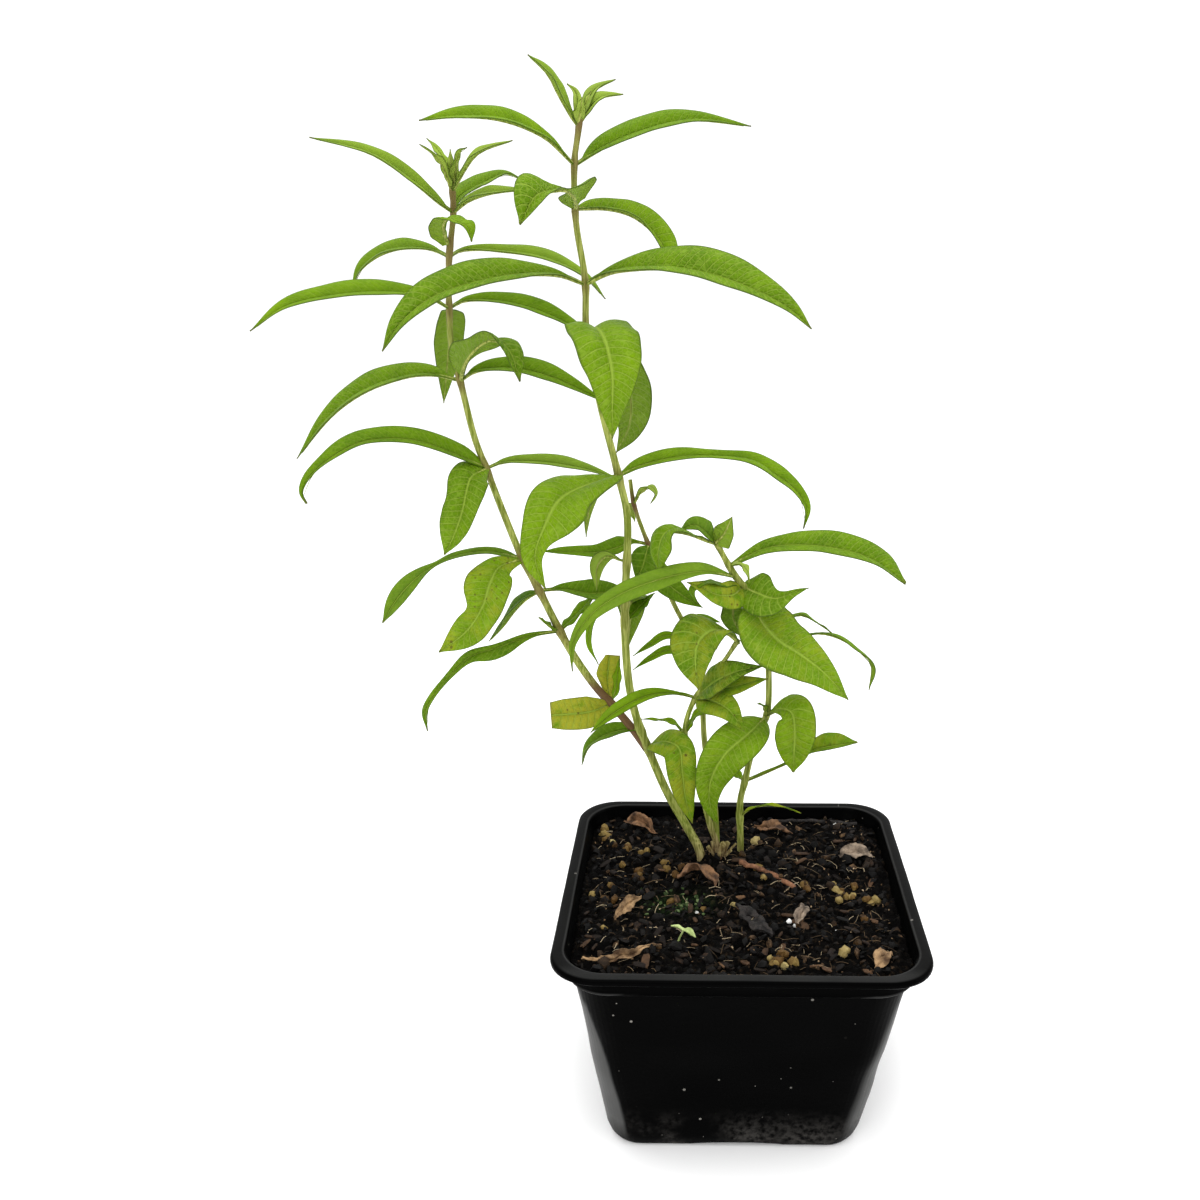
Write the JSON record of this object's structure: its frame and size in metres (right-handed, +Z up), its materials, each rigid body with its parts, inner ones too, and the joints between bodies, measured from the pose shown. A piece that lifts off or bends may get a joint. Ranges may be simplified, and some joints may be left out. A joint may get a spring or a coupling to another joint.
{
  "type": "potted lemon verbena plant",
  "caption": "Young lemon verbena with long arching leaves on slender upright stems, rooted in dark potting soil in a tapered square nursery pot.",
  "frame": {"origin": "middle of the pot's flat underside", "axes": "+Z up, +X to the plant's right seen from its front, +Y towards its back"},
  "size_m": [0.1805, 0.101, 0.2825],
  "materials": {
    "black_plastic": "soft-gloss moulded black plastic, slightly wavy, with pale dust",
    "potting_soil": "moist black peat with bark crumbs and pale fibres",
    "verbena_green": "thin fresh green leaf with sunken side veins, satin",
    "dry_leaf": "dead curled leaf, papery and matt",
    "dark_bark": "dark weathered bark, matt",
    "reddish_wood": "dry reddish-brown twig",
    "pale_sprout": "soft pale green seedling"
  },
  "bodies": {
    "root": {"pot": "black_plastic", "soil": "potting_soil", "tall_stem": "verbena_green", "middle_stem": "verbena_green", "short_stem": "verbena_green", "right_stem": "verbena_green", "dry_leaf_left": "dry_leaf", "dry_leaf_middle": "dry_leaf", "dry_leaf_front": "dry_leaf", "dry_leaf_corner": "dry_leaf", "dry_leaf_right": "dry_leaf", "dry_leaf_back": "dry_leaf", "dry_leaf_back_left": "dry_leaf", "dry_curl": "dry_leaf", "bark_chip": "dark_bark", "reddish_stick": "reddish_wood", "dark_twig": "dark_bark", "seedling": "pale_sprout"}
  },
  "joints": []
}
